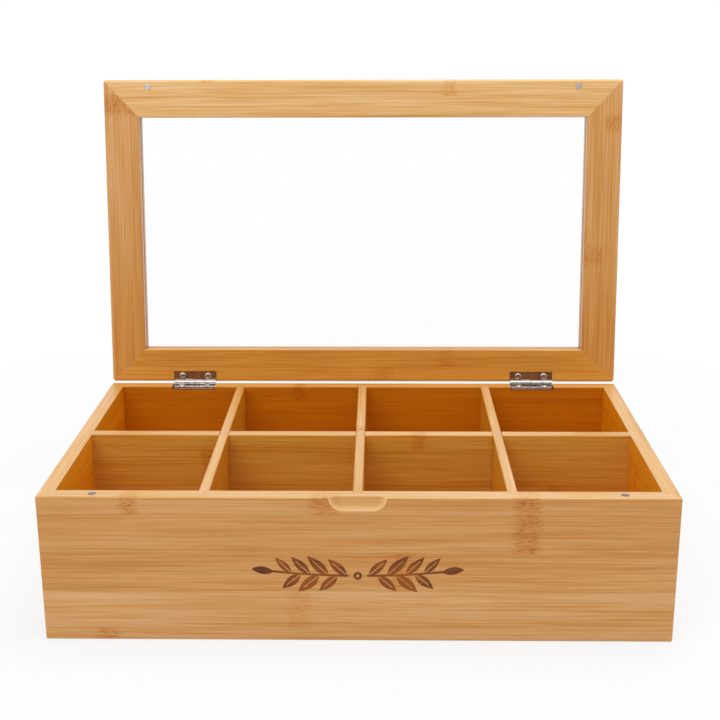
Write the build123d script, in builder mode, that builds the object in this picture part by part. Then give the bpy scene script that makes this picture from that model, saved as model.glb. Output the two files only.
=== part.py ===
from build123d import *
import os
from math import asin, cos, degrees, radians, sin

# Tea bag organizer box: a bamboo box with eight compartments and a windowed lid on two stop hinges.
# Millimetres. The origin is the centre of the box's underside, +Z is up and -Y is the front.
# The lid stands open, leaning back against the stops in its hinges. Its pieces are drawn in a
# frame that turns with it, where local +Z runs from its underside to its top when it is shut.

# ---------------------------------------------------------------- driving dimensions

# Box walls
box_width = 325.0
box_depth = 191.5
box_height = 80.0
side_wall_t = 8.4           # left and right walls
long_wall_t = 8.7           # front and back walls
wall_edge_round = 1.0       # all outer edges alike

# Bottom panel, let into a rebate from below
panel_t = 5.0
panel_edge_in_wall = 4.0

# Dividers, halved over each other, their ends in dados. Those of the long divider stop below the rim
cross_divider_t = 5.2
long_divider_t = 6.5
divider_bevel = 0.5
dado_depth = 3.0
dado_stop = 4.0
dado_clearance = 0.05
lap_clearance = 0.1

# Thumb scoop in the front wall
scoop_radius = 15.0
scoop_depth = 2.0           # into the rim, measured from the front face
scoop_straight = 15.0       # length between its two rounded ends

# Magnets, flush in the front wall's rim and in the lid
magnet_radius = 2.0
magnet_t = 3.0
magnet_from_side = 28.0     # from the box's side to the magnet's centre
magnet_clearance = 0.05

# Lid frame and window
lid_t = 13.0
lid_front_rail_width = 23.0
lid_back_rail_width = 21.2
lid_stile_width = 21.8
lid_edge_round = 2.0        # all outer edges alike
window_bevel = 0.6
pane_t = 2.0
pane_edge_in_rail = 5.0
pane_clearance = 0.1
closing_gap = 0.3           # between rim and lid when shut
open_angle = 97.0

# Stop hinges of rolled sheet
hinge_from_side = 53.8      # from the box's side to the middle of the hinge
leaf_length = 27.0
leaf_reach = 7.05           # from the pin's axis to the leaf's free edge
leaf_t = 0.8
leaf_corner_radius = 0.8
pin_radius = 0.9
pin_clearance = 0.05
axis_behind_wall = 0.5
knuckle_count = 4
knuckle_gap = 0.15
barrel_clearance = 0.25     # from a barrel to the other leaf's cut-outs
roll_slit = 0.25            # where the rolled sheet closes on its own leaf
leaf_recess_clearance = 0.25
stop_tooth_start = 7.5      # degrees from straight back, towards the top
stop_tooth_arc = 60.0
stop_tooth_reach = 0.8      # along the pin, into the next knuckle
stop_clearance_arc = 1.5
shut_spare_arc = 10.0       # left between tooth and relief when the lid is shut

# Hinge screws
screw_from_leaf_end = 5.2
screw_from_axis = 4.2
screw_length = 8.0          # below the leaf
screw_radius = 1.0
screw_head_radius = 2.0
screw_head_h = 0.65
screw_cross_length = 2.2
screw_cross_width = 0.5
screw_cross_depth = 0.4
screw_hole_clearance = 0.1
thread_clearance = 0.05
pilot_spare_depth = 0.5

# ---------------------------------------------------------------- derived sizes

inner_width = box_width - 2 * side_wall_t
inner_depth = box_depth - 2 * long_wall_t
divider_height = box_height - panel_t
lap_height = divider_height / 2
tongue_length = dado_depth - dado_clearance

cross_divider_names = ("left", "centre", "right")
column_count = len(cross_divider_names) + 1
column_width = (inner_width - len(cross_divider_names) * cross_divider_t) / column_count
cross_divider_xs = [
    -inner_width / 2 + (index + 1) * column_width + (index + 0.5) * cross_divider_t
    for index in range(len(cross_divider_names))
]

magnet_x = box_width / 2 - magnet_from_side
magnet_xs = {"left": -magnet_x, "right": magnet_x}
magnet_from_front = long_wall_t / 2
hinge_x = box_width / 2 - hinge_from_side
hinge_xs = {"left": -hinge_x, "right": hinge_x}

bore_radius = pin_radius + pin_clearance
barrel_radius = bore_radius + leaf_t
leaf_recess_depth = barrel_radius - closing_gap / 2
leaf_recess_length = leaf_length + 2 * leaf_recess_clearance
knuckle_pitch = leaf_length / knuckle_count
box_knuckles = range(0, knuckle_count, 2)
lid_knuckles = range(1, knuckle_count, 2)
screw_offset = leaf_length / 2 - screw_from_leaf_end
pilot_depth = screw_length + pilot_spare_depth

axis_y = box_depth / 2 + axis_behind_wall
axis_z = box_height + closing_gap / 2
lid_centre_y = -axis_behind_wall - box_depth / 2
window_width = box_width - 2 * lid_stile_width
window_depth = box_depth - lid_front_rail_width - lid_back_rail_width
window_centre_y = lid_centre_y + (lid_front_rail_width - lid_back_rail_width) / 2
pane_edge = pane_edge_in_rail - pane_clearance
pane_under = (lid_t - pane_t) / 2

# The hinge axis carries two frames: the box's, square to the room, and the lid's, tilted open.
box_frame = Plane(origin=(0, axis_y, axis_z))
lid_frame = Plane(
    origin=(0, axis_y, axis_z),
    x_dir=(1, 0, 0),
    z_dir=(0, sin(radians(open_angle)), cos(radians(open_angle))),
)


def place_in(frame, x, y, z):
    """A plane parallel to the frame, with its origin at a point of the frame."""
    return Plane(origin=frame.from_local_coords((x, y, z)), x_dir=frame.x_dir, z_dir=frame.z_dir)


def section_of(frame, x):
    """A plane square to the hinge axis. Its own x runs to the rear and its own y to the top."""
    return Plane(origin=frame.from_local_coords((x, 0, 0)), x_dir=frame.y_dir, z_dir=frame.x_dir)


def lid_level(height, centre_y=lid_centre_y):
    """A plane at a height above the lid's underside, centred on the lid or on its window."""
    return place_in(lid_frame, 0, centre_y, closing_gap / 2 + height)


def mitred_outline(side, width, depth, side_stock, front_stock, back_stock):
    """A region that takes one bar out of a rectangular frame: its mitre lines, run on past the frame."""
    ends = {
        "front": ((-1, -1), (1, -1)),
        "right": ((1, -1), (1, 1)),
        "back": ((1, 1), (-1, 1)),
        "left": ((-1, 1), (-1, -1)),
    }[side]
    stock = {-1: front_stock, 1: back_stock}
    outer = [(x * (width / 2 + side_stock), y * (depth / 2 + stock[y])) for x, y in ends]
    inner = [(x * (width / 2 - side_stock), y * (depth / 2 - stock[y])) for x, y in reversed(ends)]
    return outer + inner


def keep(piece, label):
    """Name a finished piece and write it."""
    piece.part.label = label
    export_step(piece.part, f"parts/{label}.step")


os.makedirs("parts", exist_ok=True)

# ---------------------------------------------------------------- box walls

# The four walls are shaped as one ring and then cut apart at the mitres.
with BuildPart() as wall_ring:
    with BuildSketch(Plane.XY):
        Rectangle(box_width, box_depth)
    extrude(amount=box_height)
    fillet(wall_ring.edges(), wall_edge_round)
    with BuildSketch(Plane.XY):
        Rectangle(inner_width, inner_depth)
    extrude(amount=box_height, mode=Mode.SUBTRACT)
    # Rebate for the bottom panel
    with BuildSketch(Plane.XY):
        Rectangle(inner_width + 2 * panel_edge_in_wall, inner_depth + 2 * panel_edge_in_wall)
    extrude(amount=panel_t, mode=Mode.SUBTRACT)
    # Dados for the ends of the dividers, those of the cross dividers open at the rim
    with BuildSketch(Plane.XY.offset(panel_t)):
        with Locations(*[(x, 0) for x in cross_divider_xs]):
            Rectangle(cross_divider_t + 2 * dado_clearance, inner_depth + 2 * dado_depth)
    extrude(amount=divider_height, mode=Mode.SUBTRACT)
    with BuildSketch(Plane.XY.offset(panel_t)):
        Rectangle(inner_width + 2 * dado_depth, long_divider_t + 2 * dado_clearance)
    extrude(amount=divider_height - dado_stop + dado_clearance, mode=Mode.SUBTRACT)
    # Thumb scoop
    scoop_centre = (0, -box_depth / 2 - scoop_radius + scoop_depth, box_height)
    scoop_half = scoop_straight / 2
    with BuildSketch(Plane(origin=scoop_centre)):
        with BuildLine():
            Line((-scoop_half - scoop_radius, 0), (scoop_half + scoop_radius, 0))
            CenterArc((scoop_half, 0), scoop_radius, 0, 90)
            Line((scoop_half, scoop_radius), (-scoop_half, scoop_radius))
            CenterArc((-scoop_half, 0), scoop_radius, 90, 90)
        make_face()
    revolve(axis=Axis(scoop_centre, (1, 0, 0)), mode=Mode.SUBTRACT)
    # Magnet bores
    with BuildSketch(Plane.XY.offset(box_height)):
        with Locations(*[(x, magnet_from_front - box_depth / 2) for x in magnet_xs.values()]):
            Circle(magnet_radius + magnet_clearance)
    extrude(amount=-magnet_t - magnet_clearance, mode=Mode.SUBTRACT)
    # Hinge notches, right across the back wall, and the pilot holes in their floors
    with BuildSketch(Plane.XY.offset(box_height)):
        with Locations(*[(x, (box_depth - long_wall_t) / 2) for x in hinge_xs.values()]):
            Rectangle(leaf_recess_length, long_wall_t)
    extrude(amount=-leaf_recess_depth, mode=Mode.SUBTRACT)
    with BuildSketch(Plane.XY.offset(box_height - leaf_recess_depth)):
        with Locations(*[(x, axis_y - screw_from_axis) for x in hinge_xs.values()]):
            with GridLocations(2 * screw_offset, 0, 2, 1):
                Circle(screw_radius + thread_clearance)
    extrude(amount=-pilot_depth, mode=Mode.SUBTRACT)

for side in ("front", "right", "back", "left"):
    outline = mitred_outline(side, box_width, box_depth, side_wall_t, long_wall_t, long_wall_t)
    with BuildPart() as wall:
        add(wall_ring.part)
        with BuildSketch(Plane.XY.offset(box_height / 2)):
            with BuildLine():
                Polyline(*outline, close=True)
            make_face()
        extrude(amount=box_height, both=True, mode=Mode.INTERSECT)
    keep(wall, f"{side}_wall")

# ---------------------------------------------------------------- bottom panel and dividers

with BuildPart() as bottom_panel:
    with BuildSketch(Plane.XY):
        Rectangle(inner_width + 2 * panel_edge_in_wall, inner_depth + 2 * panel_edge_in_wall)
    extrude(amount=panel_t)
keep(bottom_panel, "bottom_panel")

with BuildPart() as long_divider:
    with BuildSketch(Plane.XY.offset(panel_t)):
        Rectangle(inner_width, long_divider_t)
    extrude(amount=divider_height)
    top_edges = long_divider.edges().group_by(Axis.Z)[-1]
    chamfer(top_edges.filter_by(Axis.X), divider_bevel)
    # Tongues for the dados
    with BuildSketch(Plane.XY.offset(panel_t)):
        with GridLocations(inner_width + tongue_length, 0, 2, 1):
            Rectangle(tongue_length, long_divider_t)
    extrude(amount=divider_height - dado_stop)
    # Slots from above, which take the cross dividers
    with BuildSketch(Plane.XY.offset(panel_t + lap_height)):
        with Locations(*[(x, 0) for x in cross_divider_xs]):
            Rectangle(cross_divider_t + 2 * lap_clearance, long_divider_t)
    extrude(amount=lap_height, mode=Mode.SUBTRACT)
keep(long_divider, "long_divider")

for name, divider_x in zip(cross_divider_names, cross_divider_xs):
    with BuildPart() as cross_divider:
        with BuildSketch(Plane(origin=(divider_x, 0, panel_t))):
            Rectangle(cross_divider_t, inner_depth)
        extrude(amount=divider_height)
        top_edges = cross_divider.edges().group_by(Axis.Z)[-1]
        chamfer(top_edges.filter_by(Axis.Y), divider_bevel)
        # Tongues for the dados, up to the rim
        with BuildSketch(Plane(origin=(divider_x, 0, panel_t))):
            with GridLocations(0, inner_depth + tongue_length, 1, 2):
                Rectangle(cross_divider_t, tongue_length)
        extrude(amount=divider_height)
        # Slot from below, which straddles the long divider
        with BuildSketch(Plane(origin=(divider_x, 0, panel_t))):
            Rectangle(cross_divider_t, long_divider_t + 2 * lap_clearance)
        extrude(amount=lap_height + lap_clearance, mode=Mode.SUBTRACT)
    keep(cross_divider, f"cross_divider_{name}")

# ---------------------------------------------------------------- lid frame and window

# The rails and stiles are also shaped as one ring and then cut apart at the mitres.
with BuildPart() as lid_ring:
    with BuildSketch(lid_level(0)):
        Rectangle(box_width, box_depth)
    extrude(amount=lid_t)
    fillet(lid_ring.edges(), lid_edge_round)
    with BuildSketch(lid_level(0, window_centre_y)):
        Rectangle(window_width, window_depth)
    extrude(amount=lid_t, mode=Mode.SUBTRACT)
    # Magnet bores
    with BuildSketch(lid_level(0)):
        with Locations(*[(x, magnet_from_front - box_depth / 2) for x in magnet_xs.values()]):
            Circle(magnet_radius + magnet_clearance)
    extrude(amount=magnet_t + magnet_clearance, mode=Mode.SUBTRACT)
    # Hinge recesses, open at the rear, and the pilot holes in their floors
    recess_front = -leaf_reach - leaf_recess_clearance
    recess_rear = -axis_behind_wall
    with BuildSketch(place_in(lid_frame, 0, (recess_front + recess_rear) / 2, closing_gap / 2)):
        with Locations(*[(x, 0) for x in hinge_xs.values()]):
            Rectangle(leaf_recess_length, recess_rear - recess_front)
    extrude(amount=leaf_recess_depth, mode=Mode.SUBTRACT)
    with BuildSketch(place_in(lid_frame, 0, -screw_from_axis, barrel_radius)):
        with Locations(*[(x, 0) for x in hinge_xs.values()]):
            with GridLocations(2 * screw_offset, 0, 2, 1):
                Circle(screw_radius + thread_clearance)
    extrude(amount=pilot_depth, mode=Mode.SUBTRACT)

lid_bars = {"front": "front_rail", "right": "right_stile", "back": "back_rail", "left": "left_stile"}
lid_stock = (lid_stile_width, lid_front_rail_width, lid_back_rail_width)
window_middle = lid_level(lid_t / 2, window_centre_y).origin
for side, bar_name in lid_bars.items():
    outline = mitred_outline(side, box_width, box_depth, *lid_stock)
    with BuildPart() as lid_bar:
        add(lid_ring.part)
        with BuildSketch(lid_level(lid_t / 2)):
            with BuildLine():
                Polyline(*outline, close=True)
            make_face()
        extrude(amount=lid_t, both=True, mode=Mode.INTERSECT)
        # The two edges at the window are the nearest to its middle
        chamfer(lid_bar.edges().sort_by_distance(window_middle)[:2], window_bevel)
        # Groove for the pane
        with BuildSketch(lid_level(pane_under - pane_clearance, window_centre_y)):
            Rectangle(window_width + 2 * pane_edge_in_rail, window_depth + 2 * pane_edge_in_rail)
        extrude(amount=pane_t + 2 * pane_clearance, mode=Mode.SUBTRACT)
    keep(lid_bar, f"lid_{bar_name}")

with BuildPart() as window_pane:
    with BuildSketch(lid_level(pane_under, window_centre_y)):
        Rectangle(window_width + 2 * pane_edge, window_depth + 2 * pane_edge)
    extrude(amount=pane_t)
keep(window_pane, "window_pane")

# ---------------------------------------------------------------- magnets

for side, x in magnet_xs.items():
    with BuildPart() as box_magnet:
        with BuildSketch(Plane(origin=(x, magnet_from_front - box_depth / 2, box_height))):
            Circle(magnet_radius)
        extrude(amount=-magnet_t)
    keep(box_magnet, f"box_magnet_{side}")

    lid_magnet_y = lid_centre_y + magnet_from_front - box_depth / 2
    with BuildPart() as lid_magnet:
        with BuildSketch(place_in(lid_frame, x, lid_magnet_y, closing_gap / 2)):
            Circle(magnet_radius)
        extrude(amount=magnet_t)
    keep(lid_magnet, f"lid_magnet_{side}")

# ---------------------------------------------------------------- hinges


def knuckle_start(index):
    """Where a knuckle's place begins along the pin, from the middle of the hinge."""
    return index * knuckle_pitch - leaf_length / 2


stop_seam = knuckle_start(box_knuckles[-1])


def ring_slice(plane, inner_radius, outer_radius, start, arc):
    """A slice of a ring about the pin's axis, between two radii and over an arc in degrees."""
    with BuildSketch(plane) as ring:
        with BuildLine():
            outside = CenterArc((0, 0), outer_radius, start, arc)
            inside = CenterArc((0, 0), inner_radius, start, arc)
            Line(outside @ 0, inside @ 0)
            Line(outside @ 1, inside @ 1)
        make_face()
    return ring.sketch


def rolled_leaf(frame, sheet_side, knuckles):
    """A leaf of sheet with its knuckles rolled round the pin: above the axis for side 1, below for -1."""
    roll_start = 90 * sheet_side
    roll_arc = -sheet_side * (270 + degrees(asin((bore_radius - roll_slit) / barrel_radius)))
    plate_rear = -barrel_radius - barrel_clearance
    with BuildPart() as leaf:
        plate_plane = place_in(frame, 0, (plate_rear - leaf_reach) / 2, sheet_side * bore_radius)
        with BuildSketch(plate_plane) as plate:
            Rectangle(leaf_length, leaf_reach + plate_rear)
            fillet(plate.vertices().group_by(Axis.Y)[0], leaf_corner_radius)
        extrude(amount=sheet_side * leaf_t)
        for index in knuckles:
            with BuildSketch(section_of(frame, knuckle_start(index) + knuckle_gap / 2)):
                with BuildLine():
                    outside = CenterArc((0, 0), barrel_radius, roll_start, roll_arc)
                    inside = CenterArc((0, 0), bore_radius, roll_start, roll_arc)
                    Line(outside @ 1, inside @ 1)
                    Polyline(
                        outside @ 0,
                        (plate_rear, sheet_side * barrel_radius),
                        (plate_rear, sheet_side * bore_radius),
                        inside @ 0,
                    )
                make_face()
            extrude(amount=knuckle_pitch - knuckle_gap)
        with BuildSketch(place_in(frame, 0, -screw_from_axis, sheet_side * bore_radius)):
            with GridLocations(2 * screw_offset, 0, 2, 1):
                Circle(screw_radius + screw_hole_clearance)
        extrude(amount=sheet_side * leaf_t, mode=Mode.SUBTRACT)
    return leaf


def leaf_screws(frame, sheet_side):
    """The two screws of one leaf. Their heads stand on the face that the leaf turns to its pin."""
    with BuildPart() as screws:
        for x in (-screw_offset, screw_offset):
            seat = frame.from_local_coords((x, -screw_from_axis, sheet_side * bore_radius))
            outward = frame.z_dir * -sheet_side
            with BuildSketch(Plane(origin=seat, x_dir=frame.x_dir, z_dir=outward)):
                Circle(screw_radius)
            extrude(amount=-leaf_t - screw_length)
            with BuildSketch(Plane(origin=seat, x_dir=frame.x_dir, z_dir=outward)):
                Circle(screw_head_radius)
            extrude(amount=screw_head_h)
            with BuildSketch(Plane(origin=seat + outward * screw_head_h, x_dir=frame.x_dir, z_dir=outward)):
                Rectangle(screw_cross_length, screw_cross_width)
                Rectangle(screw_cross_width, screw_cross_length)
            extrude(amount=-screw_cross_depth, mode=Mode.SUBTRACT)
    return screws


for side, x in hinge_xs.items():
    hinge_on_box = place_in(box_frame, x, 0, 0)
    hinge_on_lid = place_in(lid_frame, x, 0, 0)

    # The box's leaf carries the stop, a tooth that reaches into the lid's knuckle beside it.
    with BuildPart() as box_leaf:
        add(rolled_leaf(hinge_on_box, -1, box_knuckles).part)
        tooth_end = section_of(hinge_on_box, stop_seam - stop_tooth_reach)
        tooth = ring_slice(tooth_end, bore_radius, barrel_radius, stop_tooth_start, stop_tooth_arc)
        extrude(tooth, amount=stop_tooth_reach + knuckle_gap / 2)
    keep(box_leaf, f"{side}_hinge_box_leaf")

    # The lid's knuckle is relieved for the tooth, and its end meets the tooth when the lid is open.
    with BuildPart() as lid_leaf:
        add(rolled_leaf(hinge_on_lid, 1, lid_knuckles).part)
        relief = ring_slice(
            section_of(hinge_on_lid, stop_seam - stop_tooth_reach - knuckle_gap),
            bore_radius - barrel_clearance,
            barrel_radius + barrel_clearance,
            stop_tooth_start - shut_spare_arc,
            shut_spare_arc + stop_tooth_arc + open_angle + stop_clearance_arc,
        )
        extrude(relief, amount=stop_tooth_reach + knuckle_gap, mode=Mode.SUBTRACT)
    keep(lid_leaf, f"{side}_hinge_lid_leaf")

    with BuildPart() as pin:
        with BuildSketch(section_of(hinge_on_box, -leaf_length / 2)):
            Circle(pin_radius)
        extrude(amount=leaf_length)
    keep(pin, f"{side}_hinge_pin")

    keep(leaf_screws(hinge_on_box, -1), f"{side}_hinge_box_screws")
    keep(leaf_screws(hinge_on_lid, 1), f"{side}_hinge_lid_screws")
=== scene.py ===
"""Looks, light and camera of the tea bag organizer box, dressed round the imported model.

Everything is in metres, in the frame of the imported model: X along the box's width, Y from front to
back, Z up, and the origin in the middle of the box's underside. The lid stands open at rest.
"""

import logging
from dataclasses import dataclass
from enum import Enum
from math import cos, radians, sin, tan

import bpy
from mathutils import Matrix, Vector


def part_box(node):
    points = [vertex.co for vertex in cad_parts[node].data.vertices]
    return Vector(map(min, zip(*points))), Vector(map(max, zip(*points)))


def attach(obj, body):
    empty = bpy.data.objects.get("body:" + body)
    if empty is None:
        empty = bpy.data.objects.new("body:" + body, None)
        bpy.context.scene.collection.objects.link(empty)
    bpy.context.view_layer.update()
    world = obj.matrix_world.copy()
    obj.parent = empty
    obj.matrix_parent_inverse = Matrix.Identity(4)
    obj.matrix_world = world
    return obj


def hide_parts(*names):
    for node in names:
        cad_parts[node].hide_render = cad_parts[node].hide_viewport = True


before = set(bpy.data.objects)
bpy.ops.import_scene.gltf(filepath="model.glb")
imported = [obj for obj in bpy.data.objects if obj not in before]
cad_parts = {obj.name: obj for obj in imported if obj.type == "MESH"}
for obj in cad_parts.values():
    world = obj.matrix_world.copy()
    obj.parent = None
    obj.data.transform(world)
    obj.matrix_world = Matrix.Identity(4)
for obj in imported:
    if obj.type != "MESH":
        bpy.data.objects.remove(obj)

log = logging.getLogger("organizer_box")

MM = 0.001

Number = int | float
Colour = tuple[float, float, float]

WHITE: Colour = (1.0, 1.0, 1.0)
CENTRE = Vector((0.0, 0.0, 0.0))
UNTURNED = Matrix.Identity(3)

# Places that several pieces and finishes share, in mm
RIM = 80.0
FRONT_FACE = 95.75
INNER_FACE = 87.05
HINGE_X = 108.7


def paint(red: Number, green: Number, blue: Number) -> Colour:
    """Turn a display colour into the linear colour that shaders take.

    Args:
        red: Red, from 0 to 255.
        green: Green, from 0 to 255.
        blue: Blue, from 0 to 255.

    Returns:
        The linear colour, each part from 0 to 1.
    """

    def linear(part: Number) -> float:
        """Linear value of one part of a display colour."""
        share = part / 255
        return share / 12.92 if share <= 0.04045 else ((share + 0.055) / 1.055) ** 2.4

    return linear(red), linear(green), linear(blue)


# ---------------------------------------------------------------------------------------------
# Shader maths


class Wire:
    """A shader output that takes part in Python expressions and adds its Math nodes."""

    def __init__(self, bench: "Bench", socket: bpy.types.NodeSocket) -> None:
        """Wrap a socket.

        Args:
            bench: The bench whose tree holds the socket.
            socket: The output socket.
        """
        self.bench = bench
        self.socket = socket

    def _math(self, operation: str, *values: "Wire | Number") -> "Wire":
        """Add one Math node over the given values."""
        inputs = dict(enumerate(values))
        return self.bench.add("ShaderNodeMath", {"operation": operation}, inputs)

    def __add__(self, other: "Wire | Number") -> "Wire":
        """Sum."""
        return self._math("ADD", self, other)

    def __radd__(self, other: Number) -> "Wire":
        """Sum, number first."""
        return self._math("ADD", other, self)

    def __sub__(self, other: "Wire | Number") -> "Wire":
        """Difference."""
        return self._math("SUBTRACT", self, other)

    def __rsub__(self, other: Number) -> "Wire":
        """Difference, number first."""
        return self._math("SUBTRACT", other, self)

    def __mul__(self, other: "Wire | Number") -> "Wire":
        """Product."""
        return self._math("MULTIPLY", self, other)

    def __truediv__(self, other: "Wire | Number") -> "Wire":
        """Quotient."""
        return self._math("DIVIDE", self, other)

    def __abs__(self) -> "Wire":
        """Distance from zero."""
        return self._math("ABSOLUTE", self)

    def __pow__(self, other: Number) -> "Wire":
        """Power."""
        return self._math("POWER", self, other)

    def floor(self) -> "Wire":
        """Whole number below."""
        return self._math("FLOOR", self)

    def wrap(self, period: Number) -> "Wire":
        """Value brought between minus half a period and half a period."""
        return self._math("WRAP", self, period / 2, -period / 2)

    def at_most(self, other: "Wire | Number") -> "Wire":
        """Lesser of the two."""
        return self._math("MINIMUM", self, other)

    def at_least(self, other: "Wire | Number") -> "Wire":
        """Greater of the two."""
        return self._math("MAXIMUM", self, other)

    def rise(self, start: Number, end: Number) -> "Wire":
        """Ease from 0 to 1 between two values, or from 1 to 0 where end is the lower one.

        Args:
            start: Value at which the result is 0.
            end: Value at which the result is 1.

        Returns:
            The eased mask.
        """
        low, high = min(start, end), max(start, end)
        out = (0.0, 1.0) if start <= end else (1.0, 0.0)
        settings = {"interpolation_type": "SMOOTHSTEP"}
        inputs = {"Value": self, "From Min": low, "From Max": high, "To Min": out[0], "To Max": out[1]}
        return self.bench.add("ShaderNodeMapRange", settings, inputs)


class Bench:
    """A material or world under construction: a tree of nodes with one way to add each of them."""

    def __init__(self, name: str, world: bpy.types.World | None = None) -> None:
        """Start an empty material, or empty a world.

        Args:
            name: The material's name.
            world: The world to work on instead of a material.
        """
        self.block = world or bpy.data.materials.new(name)
        self.block.use_nodes = True
        self.tree = self.block.node_tree
        self.tree.nodes.clear()

    def add(
        self,
        kind: str,
        settings: dict[str, object] | None = None,
        inputs: dict[int | str, object] | None = None,
        output: int | str = 0,
    ) -> Wire:
        """Add a node, set it up, and feed its inputs.

        Args:
            kind: The node's type.
            settings: Its properties, set before its inputs. "stops" fills a colour ramp.
            inputs: Numbers, colours or wires by socket name or number.
            output: The output socket to hand back.

        Returns:
            The wire from that output.
        """
        node = self.tree.nodes.new(kind)
        for key, value in (settings or {}).items():
            if key == "stops":
                self._fill_ramp(node.color_ramp, value)
            else:
                setattr(node, key, value)
        for key, value in (inputs or {}).items():
            socket = node.inputs[key]
            if isinstance(value, Wire):
                self.tree.links.new(value.socket, socket)
            elif socket.type == "RGBA":
                socket.default_value = (*value[:3], 1.0)
            else:
                socket.default_value = value
        outputs = [one for one in node.outputs if one.enabled] if isinstance(output, int) else node.outputs
        return Wire(self, outputs[output])

    @staticmethod
    def _fill_ramp(ramp: bpy.types.ColorRamp, stops: list[tuple[float, Colour]]) -> None:
        """Set a ramp's stops from places and linear colours."""
        while len(ramp.elements) < len(stops):
            ramp.elements.new(1.0)
        for element, (place, colour) in zip(ramp.elements, stops):
            element.position = place
            element.color = (*colour, 1.0)

    def position(
        self, origin: Vector = CENTRE, turn: Matrix = UNTURNED, unit: float = MM
    ) -> tuple[Wire, Wire, Wire]:
        """Object coordinates seen from a turned frame.

        Args:
            origin: The frame's origin, in metres.
            turn: The frame's axes, as the columns of a matrix.
            unit: The length, in metres, that counts as 1.

        Returns:
            The three coordinates as wires.
        """
        place = self.add("ShaderNodeTexCoord", output="Object")
        inputs = {
            "Vector": place,
            "Location": origin,
            "Rotation": turn.to_euler(),
            "Scale": (unit, unit, unit),
        }
        local = self.add("ShaderNodeMapping", {"vector_type": "TEXTURE"}, inputs)
        parts = self.add("ShaderNodeSeparateXYZ", inputs={0: local})
        outputs = parts.socket.node.outputs
        return Wire(self, outputs[0]), Wire(self, outputs[1]), Wire(self, outputs[2])

    def vector(self, x: Wire | Number, y: Wire | Number, z: Wire | Number) -> Wire:
        """A vector from three values."""
        return self.add("ShaderNodeCombineXYZ", inputs={0: x, 1: y, 2: z})

    def noise(self, place: Wire, scale: float = 1.0, detail: float = 2.0, rough: float = 0.5) -> Wire:
        """Soft noise about a half.

        Args:
            place: The vector that it follows.
            scale: How many features a unit holds.
            detail: Octaves.
            rough: Share of each finer octave.

        Returns:
            The noise's value.
        """
        inputs = {"Vector": place, "Scale": scale, "Detail": detail, "Roughness": rough}
        return self.add("ShaderNodeTexNoise", inputs=inputs)

    def draw(self, number: Wire) -> Wire:
        """A fixed random value from 0 to 1 for each whole number."""
        return self.add("ShaderNodeTexWhiteNoise", {"noise_dimensions": "1D"}, {"W": number}, "Value")

    def blend(self, share: Wire | Number, first: Wire | Colour, second: Wire | Colour) -> Wire:
        """Mix two colours.

        Args:
            share: Share of the second colour.
            first: The first colour.
            second: The second colour.

        Returns:
            The mixed colour.
        """
        settings = {"data_type": "RGBA", "clamp_factor": True}
        node = self.add("ShaderNodeMix", settings, {0: share}).socket.node
        for name, value in (("A_Color", first), ("B_Color", second)):
            socket = next(one for one in node.inputs if one.identifier == name)
            if isinstance(value, Wire):
                self.tree.links.new(value.socket, socket)
            else:
                socket.default_value = (*value, 1.0)
        return Wire(self, next(one for one in node.outputs if one.identifier == "Result_Color"))

    def scale(self, share: Wire, colour: Wire, factors: Colour) -> Wire:
        """Multiply a colour's parts, where the share says so.

        Args:
            share: 0 leaves the colour, 1 takes the factors in full.
            colour: The colour.
            factors: What each part is multiplied by.

        Returns:
            The new colour.
        """
        scaled = self.add("ShaderNodeVectorMath", {"operation": "MULTIPLY"}, {0: colour, 1: factors})
        return self.blend(share, colour, scaled)

    def ramp(self, share: Wire, stops: list[tuple[float, Colour]]) -> Wire:
        """A colour ramp."""
        return self.add("ShaderNodeValToRGB", {"stops": stops}, {0: share}, "Color")

    def bump(self, height: Wire, distance: float, strength: float = 1.0) -> Wire:
        """A normal from a height.

        Args:
            height: The height, from 0 to 1.
            distance: What a height of 1 stands for, in metres.
            strength: Share of the effect.

        Returns:
            The normal.
        """
        inputs = {"Height": height, "Distance": distance, "Strength": strength}
        return self.add("ShaderNodeBump", inputs=inputs, output="Normal")

    def seen(self) -> Wire:
        """1 for rays of the camera, of gloss and through the window, 0 for those that only light."""
        rays = self.add("ShaderNodeLightPath").socket.node.outputs
        seen = Wire(self, rays["Is Camera Ray"])
        for kind in ("Is Glossy Ray", "Is Transmission Ray"):
            seen = seen.at_least(Wire(self, rays[kind]))
        return seen

    def surface(self, shader: Wire) -> bpy.types.Material | bpy.types.World:
        """Join the last shader to the output, and hand back the material or the world."""
        kind = "World" if isinstance(self.block, bpy.types.World) else "Material"
        end = self.tree.nodes.new(f"ShaderNodeOutput{kind}")
        self.tree.links.new(shader.socket, end.inputs["Surface"])
        return self.block


# ---------------------------------------------------------------------------------------------
# Grain directions

OPEN_ANGLE = radians(97.0)
HINGE_AXIS = Vector((0.0, 96.25, 80.15)) * MM
UP_THE_LID = Vector((0.0, -cos(OPEN_ANGLE), sin(OPEN_ANGLE)))
OUT_OF_LID = Vector((0.0, -sin(OPEN_ANGLE), -cos(OPEN_ANGLE)))


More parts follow.
